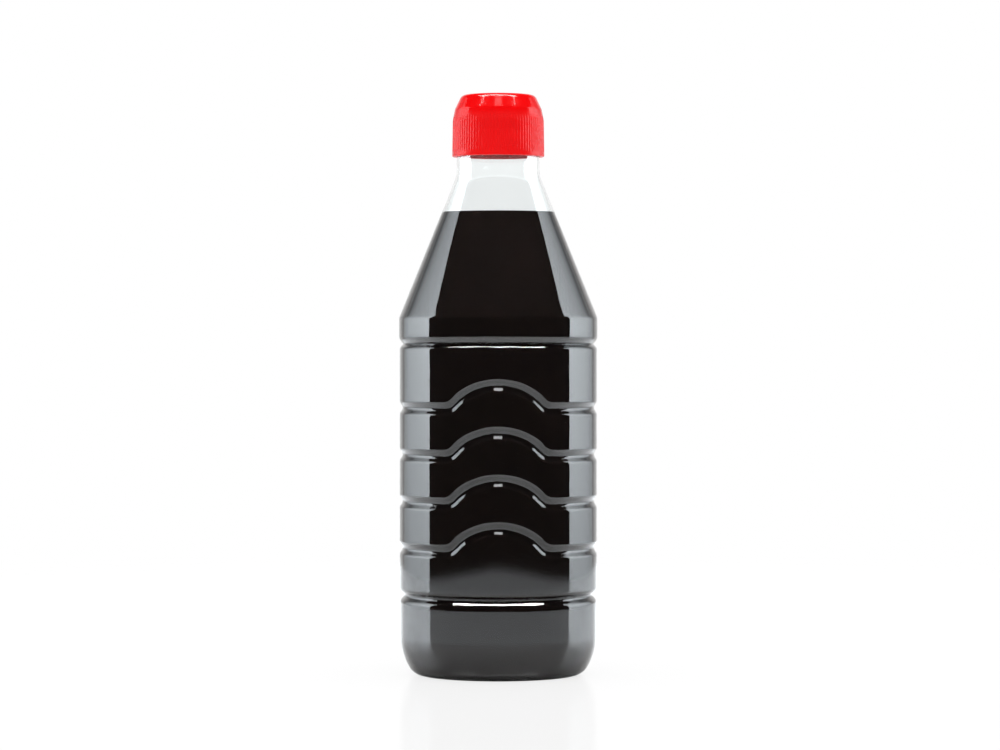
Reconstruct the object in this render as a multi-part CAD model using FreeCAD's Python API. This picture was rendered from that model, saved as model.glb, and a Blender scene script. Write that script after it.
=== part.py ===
import FreeCAD, Part
import os
from math import atan2, cos, degrees, radians, sqrt, tan

# A half-litre bottle of pomegranate molasses: a clear blow-moulded bottle with a long conical
# shoulder, a ribbed body with four arched grooves at the front and the back, a dark filling that
# stops short of the neck, and a red screw cap.  Millimetres, +Z up, front towards -Y.
# The origin is the centre of the ring that the bottle stands on.

V = FreeCAD.Vector

# ---- bottle: radii ---------------------------------------------------------------------------
body_radius = 34.25          # the ribbed panel
base_step = 0.20             # the plain band at the foot is this much slimmer
shoulder_step = 0.20         # the bead under the shoulder stands this much proud
neck_radius = 14.3
finish_step = 1.8            # the finish, which carries the cap, is this much slimmer than the neck
finish_wall = 1.6            # the finish is not blown and keeps a thicker wall
wall = 0.8                   # blown wall, the same everywhere below the finish

# ---- bottle: heights, from the foot upwards --------------------------------------------------
base_band = 27.8             # foot to the centre of the lower ring
first_gap = 16.3             # lower ring to the first arched groove
arch_pitch = 16.2
arch_count = 4
last_gap = 23.2              # last arched groove to the upper ring
shoulder_band = 8.0          # upper ring to the shoulder's corner
shoulder_height = 49.6       # the cone
neck_height = 8.0
finish_height = 17.8

# ---- bottle: corners, base and lip -----------------------------------------------------------
shoulder_radius = 2.6
neck_blend = 12.0            # hollow blend from the cone into the neck
heel_height = 7.3            # corner where the side wall turns in
heel_inset = 4.9             # how far it turns in before the foot
heel_radius = 20.0
foot_radius = 5.0
foot_inset = 10.0            # side wall to the inner edge of the standing ring
push_up = 5.5                # the base is pushed up inside its standing ring
push_up_radius = 9.0         # flat disc in the middle of the base
push_up_blend = 7.0
foot_blend = 3.0
lip_radius = 0.5
bead_slope = 0.9             # height over which the neck steps in to the finish

# ---- grooves ---------------------------------------------------------------------------------
ring_depth = 1.5             # the two straight rings
ring_root_radius = 0.9
ring_lip_radius = 1.1
upper_ring_width = 4.8
upper_ring_root_width = 1.6
lower_ring_width = 3.8
lower_ring_root_width = 0.8
arch_depth = 1.0             # the four arched grooves
arch_width = 4.0
arch_root_width = 1.2
arch_root_radius = 1.6
arch_lip_radius = 0.9
arch_rise = 8.0              # crown of the arch above the level part of its groove
arch_crown_radius = 22.0
arch_foot_radius = 6.0
arch_sections = 16           # sections lofted through an arch
seam_tolerance = 0.001       # lofted and turned edges closer than this are one edge
arc_share = 0.98             # most of a straight that the roundings at its two ends may take

# ---- filling ---------------------------------------------------------------------------------
ullage = 12.5                # the filling stops this far below the top of the cone
fill_clearance = 0.1         # between the filling and the wall
core_radius = 17.0           # plain middle of the filling, inside its lofted sectors
core_lap = 2.0               # how far the middle reaches into them

# ---- cap -------------------------------------------------------------------------------------
cap_height = 21.5
cap_top = 1.9                # thickness of the top plate, which seats on the lip
cap_skirt = 1.4              # thickness of the skirt at its open edge
cap_gap = 0.6                # between skirt and neck
cap_draft = 0.45             # the skirt narrows by this much up to the chamfer
cap_chamfer_in = 2.6
cap_chamfer_down = 4.4
cap_chamfer_radius = 3.2
cap_edge_radius = 0.4
plug_length = 2.4            # sealing ring under the top plate
plug_wall = 1.0
plug_clearance = 0.1
flute_count = 90             # grip of the skirt
flute_depth = 0.25
flute_radius = 0.45
flute_bottom = 1.6           # plain margin at the open edge
flute_margin = 3.3           # plain margin under the chamfer

# ---- sizes and places that follow from them --------------------------------------------------
finish_radius = neck_radius - finish_step
bore_radius = finish_radius - finish_wall
z_lower_ring = base_band
z_arches = [z_lower_ring + first_gap + i * arch_pitch for i in range(arch_count)]
z_upper_ring = z_arches[-1] + last_gap
z_shoulder = z_upper_ring + shoulder_band
z_neck = z_shoulder + shoulder_height
z_finish = z_neck + neck_height
z_lip = z_finish + finish_height
z_fill = z_neck - ullage
z_cap_top = z_lip + cap_top
z_cap = z_cap_top - cap_height
z_panel_bottom = z_lower_ring + first_gap / 2       # the ribbed panel, clear of every groove
z_panel_top = z_upper_ring - last_gap / 4
arch_reach = sqrt(arch_rise * (2 * arch_crown_radius + 2 * arch_foot_radius - arch_rise))
cap_radius = neck_radius + cap_gap + cap_skirt      # at the open edge
cap_rim_radius = cap_radius - cap_draft             # at the foot of the chamfer
flute_top = cap_height - cap_chamfer_down - flute_margin
tiny = 1e-6


# ---- outlines: corners (radius, height, rounding) --------------------------------------------
def groove_corners(z, depth, width, root_width, root_radius, lip_radius, radius_below, radius_above):
    """A groove in the side wall: two rounded lips and a rounded root."""
    root = body_radius - depth
    return [
        (radius_below, z - width / 2, lip_radius),
        (root, z - root_width / 2, root_radius),
        (root, z + root_width / 2, root_radius),
        (radius_above, z + width / 2, lip_radius),
    ]


def ring_corners(z, width, root_width, radius_below, radius_above):
    return groove_corners(z, ring_depth, width, root_width, ring_root_radius, ring_lip_radius,
                          radius_below, radius_above)


def lower_corners():
    """Middle of the pushed-up base, standing ring, heel, plain band and lower ring."""
    base_radius = body_radius - base_step
    return [
        (0.0, push_up, 0.0),
        (push_up_radius, push_up, push_up_blend),
        (base_radius - foot_inset, 0.0, foot_blend),
        (base_radius - heel_inset, 0.0, foot_radius),
        (base_radius, heel_height, heel_radius),
        *ring_corners(z_lower_ring, lower_ring_width, lower_ring_root_width, base_radius, body_radius),
        (body_radius, z_panel_bottom, 0.0),
    ]


def arch_climb(along):
    """Height and slope of an arched groove's centre line, at a distance along the wall from the
    middle of the arch: a round crown that runs out into two hollow feet, then level."""
    joint = arch_reach * arch_crown_radius / (arch_crown_radius + arch_foot_radius)
    if along < joint:
        drop = sqrt(arch_crown_radius ** 2 - along ** 2)
        return arch_rise - arch_crown_radius + drop, along / drop
    if along < arch_reach:
        drop = sqrt(arch_foot_radius ** 2 - (arch_reach - along) ** 2)
        return arch_foot_radius - drop, (arch_reach - along) / drop
    return 0.0, 0.0


def panel_corners(azimuth):
    """The ribbed wall at an angle, in degrees, from the middle of an arch.  Where a groove slopes
    it is cut taller, so that it keeps its width square to its own run."""
    climb, slope = arch_climb(abs(radians(azimuth)) * body_radius)
    taller = sqrt(1 + slope ** 2)
    corners = [(body_radius, z_panel_bottom, 0.0)]
    for z in z_arches:
        corners += groove_corners(z + climb, arch_depth, arch_width * taller, arch_root_width * taller,
                                  arch_root_radius, arch_lip_radius, body_radius, body_radius)
    return corners + [(body_radius, z_panel_top, 0.0)]


def upper_corners():
    """Upper ring, the bead under the shoulder, the cone and the neck."""
    bead_radius = body_radius + shoulder_step
    return [
        (body_radius, z_panel_top, 0.0),
        *ring_corners(z_upper_ring, upper_ring_width, upper_ring_root_width, body_radius, bead_radius),
        (bead_radius, z_shoulder, shoulder_radius),
        (neck_radius, z_neck, neck_blend),
        (neck_radius, z_finish, 0.0),
    ]


def moved_in(corners, inset):
    """The same outline further in: edges move square to themselves, and a rounding shrinks on an
    outer corner and grows on an inner one."""
    points = [V(r, 0, z) for r, z, _ in corners]
    runs = [(b - a).normalize() for a, b in zip(points, points[1:])]
    squares = [V(-run.z, 0, run.x) for run in runs]
    first, last = points[0] + squares[0] * inset, points[-1] + squares[-1] * inset
    result = [(first.x, first.z, 0.0)]
    for i in range(1, len(points) - 1):
        between = (squares[i - 1] + squares[i]).normalize()
        place = points[i] + between * (inset / between.dot(squares[i]))
        outer_corner = runs[i - 1].cross(runs[i]).y < 0
        rounding = corners[i][2] - inset if outer_corner else corners[i][2] + inset
        result.append((place.x, place.z, max(rounding, 0.0)))
    return result + [(last.x, last.z, 0.0)]


def rounded(corners):
    """Edges through the corners, each rounded by an arc.  Where two arcs would meet on one edge
    both shrink to fit it."""
    points = [V(r, 0, z) for r, z, _ in corners]
    runs = [(b - a).normalize() for a, b in zip(points, points[1:])]
    lengths = [a.distanceToPoint(b) for a, b in zip(points, points[1:])]
    half_turns = [0.0] + [a.getAngle(b) / 2 for a, b in zip(runs, runs[1:])] + [0.0]
    trims = [corner[2] * tan(half) for corner, half in zip(corners, half_turns)]
    fits = [min(1.0, arc_share * length / max(a + b, tiny))
            for length, a, b in zip(lengths, trims, trims[1:])]
    edges, start = [], points[0]
    for i in range(1, len(points) - 1):
        trim = trims[i] * min(fits[i - 1], fits[i])
        if trim > tiny:
            first, last = points[i] - runs[i - 1] * trim, points[i] + runs[i] * trim
            inward = (runs[i] - runs[i - 1]).normalize()
            middle = points[i] + inward * (trim * (1 / cos(half_turns[i]) - 1) / tan(half_turns[i]))
            edges += [Part.makeLine(start, first), Part.Arc(first, middle, last).toShape()]
            start = last
        else:
            edges.append(Part.makeLine(start, points[i]))
            start = points[i]
    return edges + [Part.makeLine(start, points[-1])]


def closed(edges, back):
    """A closed wire: the edges, then straight lines through the further points and home."""
    first, last = edges[0].Vertexes[0].Point, edges[-1].Vertexes[-1].Point
    for point in [*back, first]:
        if last.distanceToPoint(point) > tiny:
            edges = edges + [Part.makeLine(last, point)]
            last = point
    return Part.Wire(edges)


def full_turn(wire):
    return Part.Face(wire).revolve(V(0, 0, 0), V(0, 0, 1), 360)


def cylinder(radius, bottom, top):
    return Part.makeCylinder(radius, top - bottom, V(0, 0, bottom))


def spun(corners):
    """A solid of revolution inside an outline that runs upwards."""
    return full_turn(closed(rounded(corners), [V(0, 0, corners[-1][1]), V(0, 0, corners[0][1])]))


# ---- sections through the wall and through the filling ---------------------------------------
def wall_section(corners):
    """The blown wall alone, between its outside and its inside."""
    outside, inside = rounded(corners), rounded(moved_in(corners, wall))
    ends = [Part.makeLine(outside[i].Vertexes[i].Point, inside[i].Vertexes[i].Point) for i in (0, -1)]
    return Part.Wire(Part.__sortEdges__(outside + inside + ends))


def fill_section(corners, inner_radius=core_radius):
    """The filling, from just inside the wall to a straight inner edge."""
    edges = rounded(moved_in(corners, wall + fill_clearance))
    bottom, top = edges[0].Vertexes[0].Point.z, edges[-1].Vertexes[-1].Point.z
    return closed(edges, [V(inner_radius, 0, top), V(inner_radius, 0, bottom)])


def panel_sectors(section):
    """The ribbed panel in four sectors: lofted through the arches at the front and the back, and
    turned between them, where the grooves are level."""
    half_arch = degrees(arch_reach / body_radius)
    wires = []
    for i in range(arch_sections + 1):
        azimuth = half_arch * (2 * i / arch_sections - 1)
        wire = section(panel_corners(azimuth))
        wire.rotate(V(0, 0, 0), V(0, 0, 1), azimuth - 90)
        wires.append(wire)
    arch = Part.makeLoft(wires, True, False, False)
    level = Part.Face(wires[-1]).revolve(V(0, 0, 0), V(0, 0, 1), 180 - 2 * half_arch)
    sectors = [arch, level]
    for shape in [arch, level]:
        other = shape.copy()
        other.rotate(V(0, 0, 0), V(0, 0, 1), 180)
        sectors.append(other)
    return sectors


# ---- pieces ----------------------------------------------------------------------------------
def make_bottle():
    lower, upper = full_turn(wall_section(lower_corners())), full_turn(wall_section(upper_corners()))
    finish = spun([
        (neck_radius, z_finish, 0.0),
        (finish_radius, z_finish + bead_slope, 0.0),
        (finish_radius, z_lip, lip_radius),
        (0.0, z_lip, 0.0),
    ]).cut(cylinder(bore_radius, z_finish, z_lip))
    return lower.fuse([*panel_sectors(wall_section), upper, finish], seam_tolerance)


def make_molasses():
    lower = full_turn(fill_section(lower_corners(), 0.0))
    upper = full_turn(fill_section(upper_corners(), 0.0)).common(cylinder(body_radius, 0.0, z_fill))
    core = cylinder(core_radius + core_lap, z_panel_bottom, z_panel_top)
    return lower.fuse([core, *panel_sectors(fill_section), upper], seam_tolerance)


def make_flutes():
    """Round cutters that lean with the skirt, evenly round it."""
    lean = atan2(cap_draft, cap_height - cap_chamfer_down)
    cutter = Part.makeCylinder(flute_radius, (flute_top - flute_bottom) / cos(lean))
    cutter.rotate(V(0, 0, 0), V(0, 1, 0), -degrees(lean))
    skirt_radius = cap_radius - flute_bottom * tan(lean)
    cutter.translate(V(skirt_radius + flute_radius - flute_depth, 0, z_cap + flute_bottom))
    cutters = []
    for i in range(flute_count):
        turned = cutter.copy()
        turned.rotate(V(0, 0, 0), V(0, 0, 1), 360 * i / flute_count)
        cutters.append(turned)
    return cutters


def make_cap():
    open_edge = (cap_radius, z_cap, cap_edge_radius)
    chamfer_foot = (cap_rim_radius, z_cap_top - cap_chamfer_down, cap_chamfer_radius)
    chamfer_head = (cap_rim_radius - cap_chamfer_in, z_cap_top, cap_chamfer_radius)
    outside = spun([(0.0, z_cap, 0.0), open_edge, chamfer_foot, chamfer_head, (0.0, z_cap_top, 0.0)])
    inside = spun(moved_in([open_edge, chamfer_foot, chamfer_head], cap_skirt))
    inside = inside.common(cylinder(cap_radius, 0.0, z_lip))
    plug_radius = bore_radius - plug_clearance
    plug = cylinder(plug_radius, z_lip - plug_length, z_lip + cap_top / 2)
    plug = plug.cut(cylinder(plug_radius - plug_wall, z_lip - plug_length, z_lip))
    return outside.cut(inside).fuse(plug).cut(make_flutes())


os.makedirs("parts", exist_ok=True)
for node, make in [("bottle", make_bottle), ("molasses", make_molasses), ("cap", make_cap)]:
    make().removeSplitter().exportStep("parts/" + node + ".step")
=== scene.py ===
from math import atan2, cos, degrees, hypot, pi, radians, sin, sqrt, tan

import bmesh
import bpy
import numpy as np
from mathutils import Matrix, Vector


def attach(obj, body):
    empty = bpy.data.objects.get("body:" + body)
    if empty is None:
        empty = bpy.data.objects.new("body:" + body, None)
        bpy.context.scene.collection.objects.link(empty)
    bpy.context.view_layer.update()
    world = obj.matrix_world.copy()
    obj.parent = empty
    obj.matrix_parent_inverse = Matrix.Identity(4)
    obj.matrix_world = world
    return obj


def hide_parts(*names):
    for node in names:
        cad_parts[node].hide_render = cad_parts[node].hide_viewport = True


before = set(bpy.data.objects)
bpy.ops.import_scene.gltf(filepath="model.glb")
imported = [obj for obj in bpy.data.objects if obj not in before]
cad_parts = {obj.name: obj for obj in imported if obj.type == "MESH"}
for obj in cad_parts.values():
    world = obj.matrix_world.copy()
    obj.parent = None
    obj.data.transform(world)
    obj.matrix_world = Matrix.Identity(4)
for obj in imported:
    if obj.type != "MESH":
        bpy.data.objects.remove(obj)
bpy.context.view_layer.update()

# ---- Bottle ---------------------------------------------------------------------------------------
# A half-litre bottle, blown from a clear PET preform in a two-part mould.  The blown wall is 0.8 mm
# thick.  The finish, which the cap goes over, isn't blown and stays 1.6 mm thick.  Two straight rings
# and four arched grooves stiffen the body.  Sizes are millimetres, heights are from the foot.

body_radius, foot_band_radius, bead_radius = 34.25, 34.05, 34.45
neck_radius, finish_radius, bore_radius = 14.3, 12.5, 10.9
wall = 0.8
shoulder_height, neck_height, finish_height, lip_height = 123.9, 173.5, 181.5, 199.3
lower_ring_height, upper_ring_height = 27.8, 115.9
arch_heights = (44.1, 60.3, 76.5, 92.7)
arch_width, arch_depth, arch_rise, crown_radius, arch_foot_radius = 4.0, 1.0, 8.0, 22.0, 6.0
arch_root_width, arch_rounding, arch_margin = 0.9, 1.6, 0.7
ring_margin = 4  # neither ring reaches this far from its centre


def arch_groove(height):
    """Corners of an arched groove at its level part, with a plain row just clear of each lip."""
    root, root_half = body_radius - arch_depth, arch_root_width / 2
    half, clear = arch_width / 2, arch_width / 2 + arch_margin
    return [(body_radius, height - clear, 0), (body_radius, height - half, arch_rounding),
            (root, height - root_half, arch_rounding), (root, height + root_half, arch_rounding),
            (body_radius, height + half, arch_rounding), (body_radius, height + clear, 0)]


def set_in(corners, depth):
    """The same corners further inside the wall: a rounding shrinks on a ridge and grows in a hollow."""
    points = [Vector((r, z)) for r, z, _ in corners]
    runs = [(b - a).normalized() for a, b in zip(points, points[1:])]
    inwards = [Vector((-run.y, run.x)) for run in runs]
    moved = [(*(points[0] + inwards[0] * depth), 0)]
    for i in range(1, len(runs)):
        halfway = (inwards[i - 1] + inwards[i]).normalized()
        place = points[i] + halfway * (depth / halfway.dot(inwards[i]))
        ridge = runs[i - 1].cross(runs[i]) > 0
        rounding = corners[i][2] + (-depth if ridge else depth) if corners[i][2] else 0
        moved.append((*place, max(rounding, 0)))
    return moved + [(*(points[-1] + inwards[-1] * depth), 0)]


def turned(corners, steps, longest_row=1.8, arc_steps=6):
    """The corners joined, rounded and turned once round the axis of the bottle, in millimetres."""
    bm = bmesh.new()
    points = [bm.verts.new((r, 0, z)) for r, z, _ in corners]
    for a, b in zip(points, points[1:]):
        bm.edges.new((a, b))
    places = [point.co.copy() for point in points]
    for i in range(1, len(points) - 1):
        if corners[i][2] > 0:
            turn = (places[i] - places[i - 1]).angle(places[i + 1] - places[i])
            arc_reach = corners[i][2] * tan(turn / 2)
            bmesh.ops.bevel(bm, geom=[points[i]], offset=arc_reach, offset_type="OFFSET",
                            segments=arc_steps, profile=0.5, affect="VERTICES", material=-1)
    for edge in [e for e in bm.edges if e.calc_length() > longest_row]:
        bmesh.ops.subdivide_edges(bm, edges=[edge], cuts=int(edge.calc_length() / longest_row))
    # One sector is spun, and then copied round: that is far quicker than one full spin.
    sectors, same_place = 16, 0.0005
    sector = 2 * pi / sectors
    round_axis = {"cent": (0, 0, 0), "axis": (0, 0, 1)}
    bmesh.ops.spin(bm, geom=bm.verts[:] + bm.edges[:], angle=sector, steps=steps // sectors, **round_axis)
    bmesh.ops.spin(bm, geom=bm.verts[:] + bm.edges[:] + bm.faces[:], angle=sector * (sectors - 1),
                   steps=sectors - 1, use_duplicate=True, **round_axis)
    bmesh.ops.remove_doubles(bm, verts=bm.verts[:], dist=same_place)
    bmesh.ops.recalc_face_normals(bm, faces=bm.faces[:])
    return bm


def arch_climb(along):
    """How far an arched groove has climbed, and its slope, at a distance along the wall from the
    middle of the arch: a round crown that runs out into two hollow feet, then level."""
    reach = sqrt(arch_rise * (2 * crown_radius + 2 * arch_foot_radius - arch_rise))
    joint = reach * crown_radius / (crown_radius + arch_foot_radius)
    if along < joint:
        drop = sqrt(crown_radius ** 2 - along ** 2)
        return arch_rise - crown_radius + drop, along / drop
    if along < reach:
        drop = sqrt(arch_foot_radius ** 2 - (reach - along) ** 2)
        return arch_foot_radius - drop, (reach - along) / drop
    return 0, 0


def raise_arches(bm):
    """Lifts the rows of the four grooves into arches at the front and the back.  Where a groove slopes
    it gets taller, so that it stays as wide as it is square to its run."""
    for vertex in bm.verts:
        along = atan2(abs(vertex.co.x), abs(vertex.co.y)) * body_radius
        climb, slope = arch_climb(along)
        half, taller = arch_width / 2, sqrt(1 + slope ** 2)
        level, raised = [0, lower_ring_height + ring_margin], [0, lower_ring_height + ring_margin]
        for height in arch_heights:
            level += [height - half, height + half]
            raised += [height + climb - half * taller, height + climb + half * taller]
        last = [upper_ring_height - ring_margin, lip_height]
        vertex.co.z = np.interp(vertex.co.z, level + last, raised + last)


def finished(name, bm, *materials):
    """A piece of the object, in metres and smoothly shaded."""
    bmesh.ops.scale(bm, vec=(0.001, 0.001, 0.001), verts=bm.verts[:])
    mesh = bpy.data.meshes.new(name)
    bm.to_mesh(mesh)
    bm.free()
    mesh.shade_smooth()
    mesh.set_sharp_from_angle(angle=radians(50))
    for material in materials:
        mesh.materials.append(material)
    piece = bpy.data.objects.new(name, mesh)
    bpy.context.collection.objects.link(piece)
    return piece


def linear(hex_colour, alpha=1.0):
    """An sRGB colour such as #C8102E as the linear values that a shader takes."""
    channels = [int(hex_colour[i:i + 2], 16) / 255 for i in (1, 3, 5)]
    return (*[c / 12.92 if c <= 0.04045 else ((c + 0.055) / 1.055) ** 2.4 for c in channels], alpha)


def add(tree, kind, inputs=None, **settings):
    """A node with its settings.  An input is a value, or the output of another node."""
    made = tree.nodes.new("ShaderNode" + kind)
    for name, value in settings.items():
        setattr(made, name, value)
    for name, value in (inputs or {}).items():
        if isinstance(value, bpy.types.NodeSocket):
            tree.links.new(value, made.inputs[name])
        else:
            made.inputs[name].default_value = value
    return made


# The corners of the two rings, with heights from each ring's centre.
ring_root, upper_root = body_radius - 1.5, body_radius - 1.2
lower_ring = [(foot_band_radius, -1.9, 2.0), (ring_root, -0.4, 0.7), (ring_root, 0.4, 0.9),
              (body_radius, 1.9, 1.6)]
upper_ring = [(body_radius, -2.4, 1.6), (upper_root, -1.2, 0.4), (upper_root, -1.1, 0.4),
              (bead_radius, 0.7, 2.5)]

# The pushed-up base, the standing ring and the heel, then the plain band and the lower ring, the four
# arched grooves, the upper ring, the bead under the cone, the cone and the neck.
outside_corners = [(0, 5.5, 0), (9.0, 5.5, 7.0), (24.05, 0, 3.0), (29.15, 0, 5.0),
                   (foot_band_radius, 7.3, 19.5)]
outside_corners += [(radius, lower_ring_height + up, rounding) for radius, up, rounding in lower_ring]
outside_corners += [(body_radius, lower_ring_height + ring_margin, 0)]
for arch_height in arch_heights:
    outside_corners += arch_groove(arch_height)
outside_corners += [(body_radius, upper_ring_height - ring_margin, 0)]
outside_corners += [(radius, upper_ring_height + up, rounding) for radius, up, rounding in upper_ring]
outside_corners += [(bead_radius, shoulder_height, 2.6), (neck_radius, neck_height, 12.0),
                    (neck_radius, finish_height, 0)]

inside_corners = set_in(outside_corners, wall)
bottle_mesh = turned(
    outside_corners + [(finish_radius, finish_height + 0.9, 0.4), (finish_radius, lip_height, 0.5),
                       (bore_radius, lip_height, 0.3), (bore_radius, finish_height, 0.3)]
    + inside_corners[::-1], steps=256)
raise_arches(bottle_mesh)

# Clear PET, blown against a polished mould: glassy, with a very slow waviness where the wall cooled
# unevenly, and a fine raised line down each side where the two halves of the mould met.
pet = bpy.data.materials.new("Clear blow-moulded PET")
pet.use_nodes = True
tree = pet.node_tree
surface = tree.nodes["Principled BSDF"]
surface.inputs["Base Color"].default_value = linear("#FBFDFD")
surface.inputs["Transmission Weight"].default_value = 1.0
surface.inputs["IOR"].default_value = 1.57
place = add(tree, "TexCoord").outputs["Object"]
# The waviness is about 20 mm from crest to crest and stretched along the bottle, as it was blown.
slow = add(tree, "Mapping", {"Vector": place, "Scale": (50, 50, 22)})
waves = add(tree, "TexNoise", {"Vector": slow.outputs["Vector"], "Scale": 1.0, "Detail": 1.0})
haze = add(tree, "MapRange", {"Value": waves.outputs["Fac"], "To Min": 0.02, "To Max": 0.06})
tree.links.new(haze.outputs["Result"], surface.inputs["Roughness"])
axes = add(tree, "SeparateXYZ", {"Vector": place})
from_parting = add(tree, "Math", {0: axes.outputs["Y"]}, operation="ABSOLUTE")
parting_line = add(tree, "MapRange", {"Value": from_parting.outputs["Value"], "From Min": 0.0001,
                                      "From Max": 0.0003, "To Min": 1.0, "To Max": 0.0},
                   interpolation_type="SMOOTHSTEP")
ripple = add(tree, "Bump", {"Height": waves.outputs["Fac"], "Strength": 1.0, "Distance": 0.00004})
raised_line = add(tree, "Bump", {"Height": parting_line.outputs["Result"], "Strength": 1.0,
                                 "Distance": 0.00004, "Normal": ripple.outputs["Normal"]})
tree.links.new(raised_line.outputs["Normal"], surface.inputs["Normal"])

bottle = finished("Bottle", bottle_mesh, pet)
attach(bottle, "root")
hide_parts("bottle")

# ---- Molasses --------------------------------------------------------------------------------------
# Boiled-down pomegranate juice, a syrup that is nearly black in any thickness.  It fills the bottle up
# to the upper part of the cone, and climbs the wall a little at its edge.  Its skin lies just inside
# the bottle's wall, so that no air shows between them.
fill_height, edge_height, in_wall = 159.9, 160.4, 0.6
fill_corners = set_in(outside_corners, in_wall)
(cone_foot_radius, cone_foot, _), (cone_top_radius, cone_top, _) = fill_corners[-3:-1]
edge_radius = np.interp(edge_height, [cone_foot, cone_top], [cone_foot_radius, cone_top_radius])
molasses_mesh = turned(
    fill_corners[:-2] + [(edge_radius, edge_height, 0), (edge_radius - 0.9, fill_height + 0.1, 0.8),
                         (edge_radius - 3.0, fill_height, 0), (0, fill_height, 0)], steps=192)
raise_arches(molasses_mesh)

# The syrup against the wall shows no gloss of its own, because PET bends light almost as it does.
# Pomegranate solids make it a trace redder and paler here and there, over a few centimetres.
syrup = bpy.data.materials.new("Pomegranate molasses against the wall")
syrup.use_nodes = True
tree = syrup.node_tree
surface = tree.nodes["Principled BSDF"]
surface.inputs["IOR"].default_value = 1.05
surface.inputs["Roughness"].default_value = 0.3
place = add(tree, "TexCoord").outputs["Object"]
clouds = add(tree, "TexNoise", {"Vector": place, "Scale": 35.0, "Detail": 3.0})
colour = add(tree, "Mix", {0: clouds.outputs["Fac"], 6: linear("#0B0807"), 7: linear("#120B09")},
             data_type="RGBA")
tree.links.new(colour.outputs[2], surface.inputs["Base Color"])

# The free surface of the syrup meets air, so it is glossy.
free_surface = bpy.data.materials.new("Pomegranate molasses free surface")
free_surface.use_nodes = True
tree = free_surface.node_tree
surface = tree.nodes["Principled BSDF"]
surface.inputs["IOR"].default_value = 1.49
place = add(tree, "TexCoord").outputs["Object"]
clouds = add(tree, "TexNoise", {"Vector": place, "Scale": 60.0, "Detail": 2.0})
colour = add(tree, "Mix", {0: clouds.outputs["Fac"], 6: linear("#0E0907"), 7: linear("#1A0D0A")},
             data_type="RGBA")
tree.links.new(colour.outputs[2], surface.inputs["Base Color"])
skin = add(tree, "MapRange", {"Value": clouds.outputs["Fac"], "To Min": 0.03, "To Max": 0.09})
tree.links.new(skin.outputs["Result"], surface.inputs["Roughness"])

molasses = finished("Molasses", molasses_mesh, syrup, free_surface)
for face in molasses.data.polygons:
    if face.normal.z > 0.7 and face.center.z > 0.001 * (fill_height - 0.1):
        face.material_index = 1
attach(molasses, "root")
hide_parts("molasses")

# ---- Cap ---------------------------------------------------------------------------------------------
# A screw cap injection-moulded from red polypropylene, with a chamfered top and a fine grip of
# ninety flutes round its skirt.  It seats on the bottle's lip, and a plug ring goes into the bore.
cap_bottom, cap_top, chamfer_foot, grip_top = 179.7, 201.2, 196.2, 192.3
cap_radius, grip_radius, rim_radius, top_radius, skirt = 16.0, 15.8, 15.1, 12.7, 1.4
plug_radius, plug_bottom, plug_wall = 10.8, 196.9, 1.0
flutes, flute_faces, flute_depth, flute_share = 90, 8, 0.12, 0.8
flute_bottom, flute_top, run_out = 181.3, 193.5, 0.5

cap_side = [(cap_radius, cap_bottom, 0), (grip_radius, grip_top, 5.0), (rim_radius, chamfer_foot, 3.5),
            (top_radius, cap_top, 0)]
cap_inside = set_in(cap_side, skirt)
(inner_foot_radius, inner_foot, _), (inner_top_radius, inner_top, _) = cap_inside[2:]
ceiling_radius = np.interp(lip_height, [inner_foot, inner_top], [inner_foot_radius, inner_top_radius])
plug_bore = plug_radius - plug_wall
cap_mesh = turned(
    [(0, cap_top, 0), (top_radius, cap_top, 2.0), *cap_side[2:0:-1], (cap_radius, cap_bottom, 0.4),
     (cap_radius - skirt, cap_bottom, 0.2), *cap_inside[1:3], (ceiling_radius, lip_height, 0),
     (plug_radius, lip_height, 0), (plug_radius, plug_bottom, 0.3), (plug_bore, plug_bottom, 0.3),
     (plug_bore, lip_height, 0), (0, lip_height, 0)], steps=flutes * flute_faces, longest_row=0.5)

# The flutes are round hollows, pressed into the outside of the skirt alone.
for vertex in cap_mesh.verts:
    radius, height = hypot(vertex.co.x, vertex.co.y), vertex.co.z
    inside_skirt = radius < rim_radius - 0.1
    if inside_skirt or not flute_bottom < height < flute_top:
        continue
    across = (degrees(atan2(vertex.co.y, vertex.co.x)) * flutes / 360) % 1
    from_middle = abs(across - round(across)) * 2 / flute_share
    end = min(1, (height - flute_bottom) / run_out, (flute_top - height) / run_out)
    if from_middle < 1:
        pressed = flute_depth * (1 - from_middle ** 2) * sqrt(end)
        vertex.co.xy *= (radius - pressed) / radius

# Red polypropylene from a satin mould: a soft gloss, a faint grain under a tenth of a millimetre, drawn
# at 0.4 mm so that it shows, and slight flow marks, paler and darker, round the skirt.
polypropylene = bpy.data.materials.new("Red moulded polypropylene")
polypropylene.use_nodes = True
tree = polypropylene.node_tree
surface = tree.nodes["Principled BSDF"]
surface.inputs["IOR"].default_value = 1.49
surface.inputs["Specular IOR Level"].default_value = 0.14
place = add(tree, "TexCoord").outputs["Object"]
flow = add(tree, "Mapping", {"Vector": place, "Scale": (60, 60, 160)})
flow_marks = add(tree, "TexNoise", {"Vector": flow.outputs["Vector"], "Scale": 1.0, "Detail": 3.0})
colour = add(tree, "Mix", {0: flow_marks.outputs["Fac"], 6: linear("#E60508"), 7: linear("#F4060A")},
             data_type="RGBA")
tree.links.new(colour.outputs[2], surface.inputs["Base Color"])
satin = add(tree, "MapRange", {"Value": flow_marks.outputs["Fac"], "To Min": 0.22, "To Max": 0.34})
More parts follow.
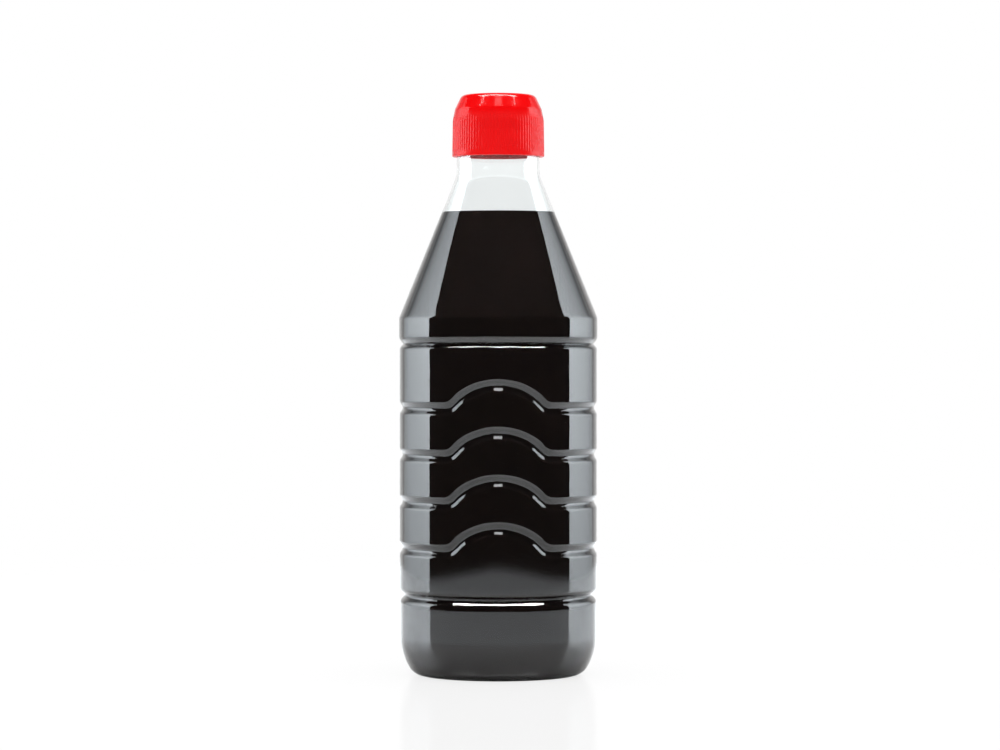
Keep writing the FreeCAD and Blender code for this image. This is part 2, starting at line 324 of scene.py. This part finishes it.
# Above the flutes the mould was polished, so the chamfer and the top are glossier.
axes = add(tree, "SeparateXYZ", {"Vector": place})
polish = add(tree, "MapRange", {"Value": axes.outputs["Z"], "From Min": 0.1935, "From Max": 0.1955,
                                "To Min": 1.0, "To Max": 0.4})
gloss = add(tree, "Math", {0: satin.outputs["Result"], 1: polish.outputs["Result"]}, operation="MULTIPLY")
tree.links.new(gloss.outputs["Value"], surface.inputs["Roughness"])
grain = add(tree, "TexNoise", {"Vector": place, "Scale": 2500.0, "Detail": 2.0})
moulded_grain = add(tree, "Bump", {"Height": grain.outputs["Fac"], "Strength": 1.0, "Distance": 0.00001})
tree.links.new(moulded_grain.outputs["Normal"], surface.inputs["Normal"])

cap = finished("Screw_cap", cap_mesh, polypropylene)
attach(cap, "root")
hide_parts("cap")

# ---- Floor and background ----------------------------------------------------------------------------
# A table of white acrylic that the bottle stands on, an oval about a metre across that ends softly,
# with plain white behind.
table_radius = 680
floor_mesh = bmesh.new()
bmesh.ops.create_circle(floor_mesh, cap_ends=True, segments=96, radius=table_radius)
white_table = bpy.data.materials.new("White acrylic table")
white_table.use_nodes = True
tree = white_table.node_tree
lit = tree.nodes["Principled BSDF"]
lit.inputs["Base Color"].default_value = linear("#F2F2F2")
lit.inputs["Roughness"].default_value = 0.16
lit.inputs["IOR"].default_value = 1.49
ray = add(tree, "LightPath")
seen = add(tree, "Math", {0: ray.outputs["Is Camera Ray"], 1: ray.outputs["Is Transmission Ray"]},
           operation="MAXIMUM")
# A fifth of what shows is the lit table, which keeps the bottle's shadow; the rest is plain white.
white_share = add(tree, "Math", {0: seen.outputs["Value"], 1: 0.8}, operation="MULTIPLY")
white = add(tree, "Emission", {"Strength": 1.0})
table = add(tree, "MixShader", {0: white_share.outputs["Value"], 1: lit.outputs["BSDF"],
                                2: white.outputs["Emission"]})
# A reflection shows the lit table, with plain white added for reflections alone. Near the bottle's foot
# that white is left out, as a painted shadow in the reflection.
place = add(tree, "TexCoord").outputs["Object"]
from_bottle = add(tree, "VectorMath", {0: place}, operation="LENGTH")
# Painted shade: the reflected white fades to nothing towards the bottle's foot.
past_painted_foot_shade = add(tree, "MapRange", {"Value": from_bottle.outputs["Value"], "From Min": 0.036,
                                         "From Max": 0.14, "To Max": 0.9})
mirrored = add(tree, "Math", {0: ray.outputs["Is Glossy Ray"], 1: past_painted_foot_shade.outputs["Result"]},
               operation="MULTIPLY")
mirrored_white = add(tree, "Emission", {"Strength": mirrored.outputs["Value"],
                                        "Color": linear("#E6EEF5")})
whole_table = add(tree, "AddShader", {0: table.outputs["Shader"], 1: mirrored_white.outputs["Emission"]})
oval = add(tree, "VectorMath", {0: place, 1: (1.17, 1, 1)}, operation="MULTIPLY")
distance = add(tree, "VectorMath", {0: oval.outputs["Vector"]}, operation="LENGTH")
fading = add(tree, "MapRange", {"Value": distance.outputs["Value"], "From Min": 0.55, "From Max": 0.66},
             interpolation_type="SMOOTHSTEP")
gone = add(tree, "BsdfTransparent")
faded = add(tree, "MixShader", {0: fading.outputs["Result"], 1: whole_table.outputs["Shader"],
                                2: gone.outputs["BSDF"]})
tree.links.new(faded.outputs["Shader"], tree.nodes["Material Output"].inputs["Surface"])
floor = finished("Floor", floor_mesh, white_table)

# White to the camera and through the clear neck.  Reflections find that white behind the bottle only,
# because the studio in front is dark.  Matt surfaces are lit by the room from all round.
studio = bpy.data.worlds.new("Studio")
studio.use_nodes = True
tree = studio.node_tree
ray = add(tree, "LightPath")
way = add(tree, "TexCoord").outputs["Generated"]
axes = add(tree, "SeparateXYZ", {"Vector": way})
behind = add(tree, "MapRange", {"Value": axes.outputs["Y"], "From Min": 0.66, "From Max": 0.93,
                                "To Min": 0.02, "To Max": 1.0}, interpolation_type="SMOOTHSTEP")
mirrored = add(tree, "Math", {0: ray.outputs["Is Glossy Ray"], 1: behind.outputs["Result"]},
               operation="MULTIPLY")
room = add(tree, "Math", {0: ray.outputs["Is Diffuse Ray"], 1: 0.9}, operation="MULTIPLY")
white = add(tree, "Math", {0: ray.outputs["Is Camera Ray"], 1: ray.outputs["Is Transmission Ray"]},
            operation="MAXIMUM")
bounced = add(tree, "Math", {0: mirrored.outputs["Value"], 1: room.outputs["Value"]}, operation="MAXIMUM")
strength = add(tree, "Math", {0: white.outputs["Value"], 1: bounced.outputs["Value"]}, operation="MAXIMUM")
background = tree.nodes["Background"]
background.inputs["Color"].default_value = (1, 1, 1, 1)
tree.links.new(strength.outputs["Value"], background.inputs["Strength"])
bpy.context.scene.world = studio
bpy.context.scene.view_settings.view_transform = "Standard"

# ---- Lamps ---------------------------------------------------------------------------------------------
# A tall softbox on each side, a little behind the bottle, seen as the pale strips in its sides.  A wide
# strip light overhead draws the lines in its rings, and a smaller one before it the spots on its
# arches.  These show in reflections only, and a big soft light overhead lights all that is matt.


def softbox(name, centre, aim, width, height, radiance, gloss_only=True):
    """A rectangular softbox whose face is evenly as bright as that many times white."""
    lamp = bpy.data.lights.new(name, "AREA")
    lamp.shape, lamp.size, lamp.size_y = "RECTANGLE", width, height
    lamp.energy = radiance * pi * width * height
    lamp.use_nodes = True
    made = bpy.data.objects.new(name, lamp)
    made.location = centre
    made.rotation_euler = (Vector(aim) - Vector(centre)).to_track_quat("-Z", "Y").to_euler()
    made.visible_diffuse, made.visible_glossy = not gloss_only, gloss_only
    bpy.context.collection.objects.link(made)
    return made


softbox_distance, softbox_top, softbox_bottom = 0.9, 0.745, -0.3
# The falloff moves forwards with height, by this share of the face's width over its whole height.  It
# isn't moved at the second share, which is of the face's height.
lean, unmoved_height = 0.45, 0.39
cool_daylight = (0.88, 0.95, 1.0)
middle = (softbox_top + softbox_bottom) / 2
for side, front_edge, back_edge in ((-1, radians(86), radians(142)), (1, radians(90), radians(142))):
    turn = (front_edge + back_edge) / 2
    centre = (side * softbox_distance * sin(turn), -softbox_distance * cos(turn), middle)
    width = 2 * softbox_distance * tan(back_edge - turn)
    box = softbox("Softbox_left" if side < 0 else "Softbox_right", centre, (0, 0, middle), width,
                  softbox_top - softbox_bottom, 3.4)
    box.data.color = cool_daylight
    # The face is brightest along its front edge, and falls off to the back, sooner the higher up, and
    # towards the table.
    tree = box.data.node_tree
    across = add(tree, "SeparateXYZ", {"Vector": add(tree, "NewGeometry").outputs["Parametric"]})
    leaning = add(tree, "Math", {0: across.outputs["Y"], 1: side * lean, 2: across.outputs["X"]},
                  operation="MULTIPLY_ADD")
    front, back = (1.0, 0.0) if side < 0 else (0.0, 1.0)
    shift = side * lean * unmoved_height
    to_front = add(tree, "MapRange", {"Value": leaning.outputs["Value"], "From Min": back + shift,
                                      "From Max": front + shift, "To Min": 0.12, "To Max": 2.6})
    upwards = add(tree, "MapRange", {"Value": across.outputs["Y"], "From Min": 0.25, "From Max": 0.41,
                                     "To Min": 0.53, "To Max": 1.0})
    strength = add(tree, "Math", {0: to_front.outputs["Result"], 1: upwards.outputs["Result"]},
                   operation="MULTIPLY")
    tree.links.new(strength.outputs["Value"], tree.nodes["Emission"].inputs["Strength"])
softbox("Overhead_strip", (0, -0.2, 1.1), (0, -0.2, 0), 1.4, 0.4, 45.0)
softbox("Front_strip", (0, -0.58, 1.1), (0, -0.58, 0), 0.3, 0.36, 7.5)
softbox("Overhead_soft", (0, 0, 1.3), (0, 0, 0), 1.0, 1.0, 2.4, gloss_only=False)

# ---- Camera ----------------------------------------------------------------------------------------------
# Nearly level with the upper ring, a little over a metre in front of the bottle.
camera_distance, aside, camera_height, aim_height = 1.2, 0.0006, 0.1165, 0.104
view_width, sensor_width = 0.3475, 36
camera = bpy.data.objects.new("Camera", bpy.data.cameras.new("Camera"))
camera.location = (aside, -camera_distance, camera_height)
line_of_sight = Vector((aside, 0, aim_height)) - camera.location
camera.rotation_euler = line_of_sight.to_track_quat("-Z", "Y").to_euler()
camera.data.sensor_width = sensor_width
camera.data.lens = sensor_width * camera_distance / view_width
bpy.context.collection.objects.link(camera)
bpy.context.scene.camera = camera
